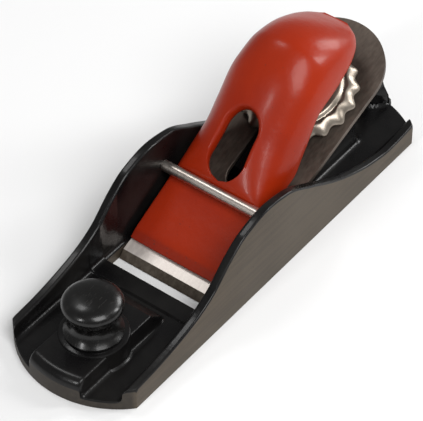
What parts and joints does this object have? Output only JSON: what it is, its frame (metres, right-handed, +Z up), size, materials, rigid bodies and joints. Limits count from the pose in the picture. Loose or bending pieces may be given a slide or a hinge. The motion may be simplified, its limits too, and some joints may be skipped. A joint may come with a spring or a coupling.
{
  "type": "hand plane",
  "caption": "Low-angle hand plane: black casting with machined sides, red lever cap, bedded cutter, scalloped clamping wheel, round front knob and a screw depth adjuster.",
  "frame": {"origin": "under the middle of the sole, at the centre of the bounding box", "axes": "+X from the toe to the heel, +Z up, +Y to the side that the lever cap leans towards"},
  "size_m": [0.178, 0.052, 0.0618],
  "materials": {
    "japanned_iron": "black japanning inside, ground bright grey on the sole, sides and ends",
    "knob_black": "glossy moulded black",
    "tool_steel": "dull brown-grey with a ground and polished edge",
    "red_paint": "glossy red enamel",
    "nickel": "bright nickel plate",
    "steel": "turned",
    "brass": "turned"
  },
  "bodies": {
    "body": {"body_casting": "japanned_iron", "front_knob": "knob_black", "knob_insert": "brass", "knob_stud": "steel", "cross_pin": "nickel", "depth_stud": "steel", "stud_lock_nut": "steel", "lever_pin": "steel"},
    "depth_carrier": {"depth_washer": "steel"},
    "depth_nut": {"depth_nut": "brass"},
    "cutter": {"cutter": "tool_steel"},
    "adjust_lever": {"adjust_lever": "steel"},
    "lever_cap": {"lever_cap": "red_paint", "cap_bush": "brass"},
    "clamp_foot": {"clamp_foot": "steel"},
    "clamp_screw": {"clamp_screw": "steel", "clamp_wheel": "nickel", "clamp_collar": "steel"}
  },
  "joints": [
    {"name": "depth_travel", "type": "slide", "parent": "body", "child": "depth_carrier", "axis": [1, 0, 0], "range_m": [-0.002, 0.002]},
    {"name": "depth_nut_spin", "type": "hinge", "parent": "depth_carrier", "child": "depth_nut", "pos_m": [0.0538, 0, 0.013], "axis": [1, 0, 0], "range_deg": [-920, 920]},
    {"name": "cutter_slide", "type": "slide", "parent": "body", "child": "cutter", "axis": [0.9397, 0, 0.342], "range_m": [-0.0015, 0.0015]},
    {"name": "lever_tilt", "type": "hinge", "parent": "body", "child": "adjust_lever", "pos_m": [0.05381, 0, 0.02284], "axis": [0, 1, 0], "range_deg": [-12, 12]},
    {"name": "lever_cap_slide", "type": "slide", "parent": "body", "child": "lever_cap", "axis": [0.9397, 0, 0.342], "range_m": [0, 0.027]},
    {"name": "clamp_travel", "type": "slide", "parent": "lever_cap", "child": "clamp_foot", "axis": [-0.342, 0, 0.9397], "range_m": [0, 0.003]},
    {"name": "clamp_spin", "type": "hinge", "parent": "clamp_foot", "child": "clamp_screw", "pos_m": [0.04925, 0.002, 0.02863], "axis": [-0.342, 0, 0.9397], "range_deg": [0, 1100]}
  ],
  "couplings": [
    {"joint": "depth_nut_spin", "follows": "depth_travel", "rad_per_m": 7854},
    {"joint": "cutter_slide", "follows": "depth_travel", "ratio": -0.7346},
    {"joint": "lever_tilt", "follows": "depth_travel", "rad_per_m": -102},
    {"joint": "clamp_spin", "follows": "clamp_travel", "rad_per_m": 6283.2}
  ]
}
